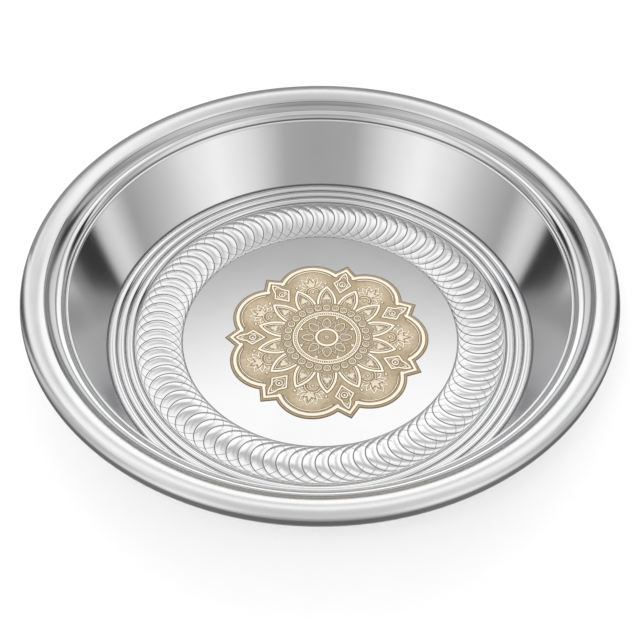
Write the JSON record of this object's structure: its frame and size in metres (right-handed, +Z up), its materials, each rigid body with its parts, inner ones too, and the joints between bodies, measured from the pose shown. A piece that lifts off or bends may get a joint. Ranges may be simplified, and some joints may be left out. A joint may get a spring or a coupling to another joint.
{
  "type": "dough kneading plate",
  "caption": "Deep round plate of polished steel with a rolled rim, a leaning wall, an embossed ring of overlapping coins and a tan and cream mandala printed on its flat floor.",
  "frame": {"origin": "centre of the flat underside, on the surface that the plate stands on", "axes": "+Z up along the plate's axis, -Y towards the viewer of the picture, +X to the viewer's right"},
  "size_m": [0.35, 0.35, 0.0677],
  "materials": {
    "steel": "polished stainless steel",
    "tan_enamel": "satin tan printing enamel",
    "cream_enamel": "satin cream printing enamel"
  },
  "bodies": {
    "root": {"pan": "steel", "coin_crescents": "steel", "medallion_ground": "tan_enamel", "border_band": "cream_enamel", "lobe_lines": "cream_enamel", "lobe_fans": "cream_enamel", "lobe_palmettes": "cream_enamel", "lobe_dots": "cream_enamel", "bud_frames": "cream_enamel", "bud_hearts": "cream_enamel", "petal_frames": "cream_enamel", "petal_lines": "cream_enamel", "petal_florets": "cream_enamel", "scallop_row": "cream_enamel", "bead_rails": "cream_enamel", "rope_beads": "cream_enamel", "rosette_leaves": "cream_enamel", "rosette_triangles": "cream_enamel", "boss_ring": "cream_enamel", "boss_dot": "cream_enamel"}
  },
  "joints": []
}
